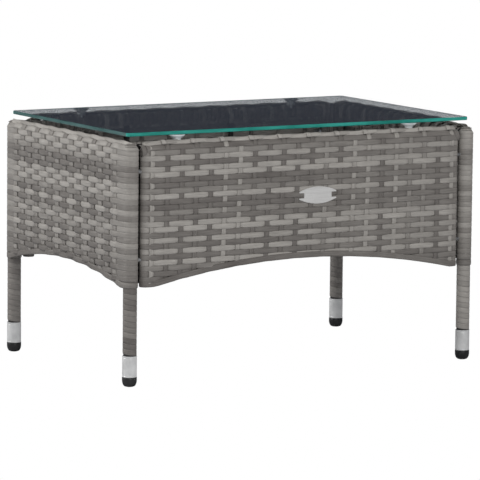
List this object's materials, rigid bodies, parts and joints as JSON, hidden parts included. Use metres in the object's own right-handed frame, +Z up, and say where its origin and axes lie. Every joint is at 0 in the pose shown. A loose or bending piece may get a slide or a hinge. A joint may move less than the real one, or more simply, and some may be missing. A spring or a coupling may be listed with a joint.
{
  "type": "coffee table",
  "caption": "Low rectangular coffee table with a loose glass top on clear cups over a woven cane base on round legs.",
  "frame": {"origin": "on the floor under the middle of the table", "axes": "+X along the table's long side, -Y towards the front with the badge, +Z up"},
  "size_m": [0.584, 0.384, 0.36],
  "materials": {
    "cane": "flat extruded plastic cane, satin",
    "frame_steel": "dark powder coat",
    "sleeve": "satin",
    "foot": "matt",
    "glass": "clear float glass with polished edges",
    "cup": "clear soft plastic",
    "bolt_steel": "zinc plated",
    "badge": "brushed, blank"
  },
  "bodies": {
    "table_base": {"left_front_leg_tube": "frame_steel", "left_front_leg_wrap": "cane", "left_front_leg_sleeve": "sleeve", "left_front_foot_cap": "foot", "front_left_stile": "frame_steel", "front_left_cup": "cup", "left_rear_leg_tube": "frame_steel", "left_rear_leg_wrap": "cane", "left_rear_leg_sleeve": "sleeve", "left_rear_foot_cap": "foot", "rear_left_stile": "frame_steel", "rear_left_cup": "cup", "left_top_rail": "frame_steel", "left_arch_rod": "frame_steel", "left_end_weave": "cane", "left_leg_inserts": "bolt_steel", "right_front_leg_tube": "frame_steel", "right_front_leg_wrap": "cane", "right_front_leg_sleeve": "sleeve", "right_front_foot_cap": "foot", "front_right_stile": "frame_steel", "front_right_cup": "cup", "right_rear_leg_tube": "frame_steel", "right_rear_leg_wrap": "cane", "right_rear_leg_sleeve": "sleeve", "right_rear_foot_cap": "foot", "rear_right_stile": "frame_steel", "rear_right_cup": "cup", "right_top_rail": "frame_steel", "right_arch_rod": "frame_steel", "right_end_weave": "cane", "right_leg_inserts": "bolt_steel", "front_top_rail": "frame_steel", "front_arch_rod": "frame_steel", "front_uprights": "frame_steel", "front_weave": "cane", "front_panel_bolts": "bolt_steel", "front_panel_washers": "bolt_steel", "rear_top_rail": "frame_steel", "rear_arch_rod": "frame_steel", "rear_uprights": "frame_steel", "rear_weave": "cane", "rear_panel_bolts": "bolt_steel", "rear_panel_washers": "bolt_steel", "badge": "badge"},
    "glass": {"glass_top": "glass"}
  },
  "joints": [
    {"name": "glass_lift", "type": "slide", "parent": "table_base", "child": "glass", "axis": [0, 0, 1], "range_m": [0, 0.15]}
  ]
}
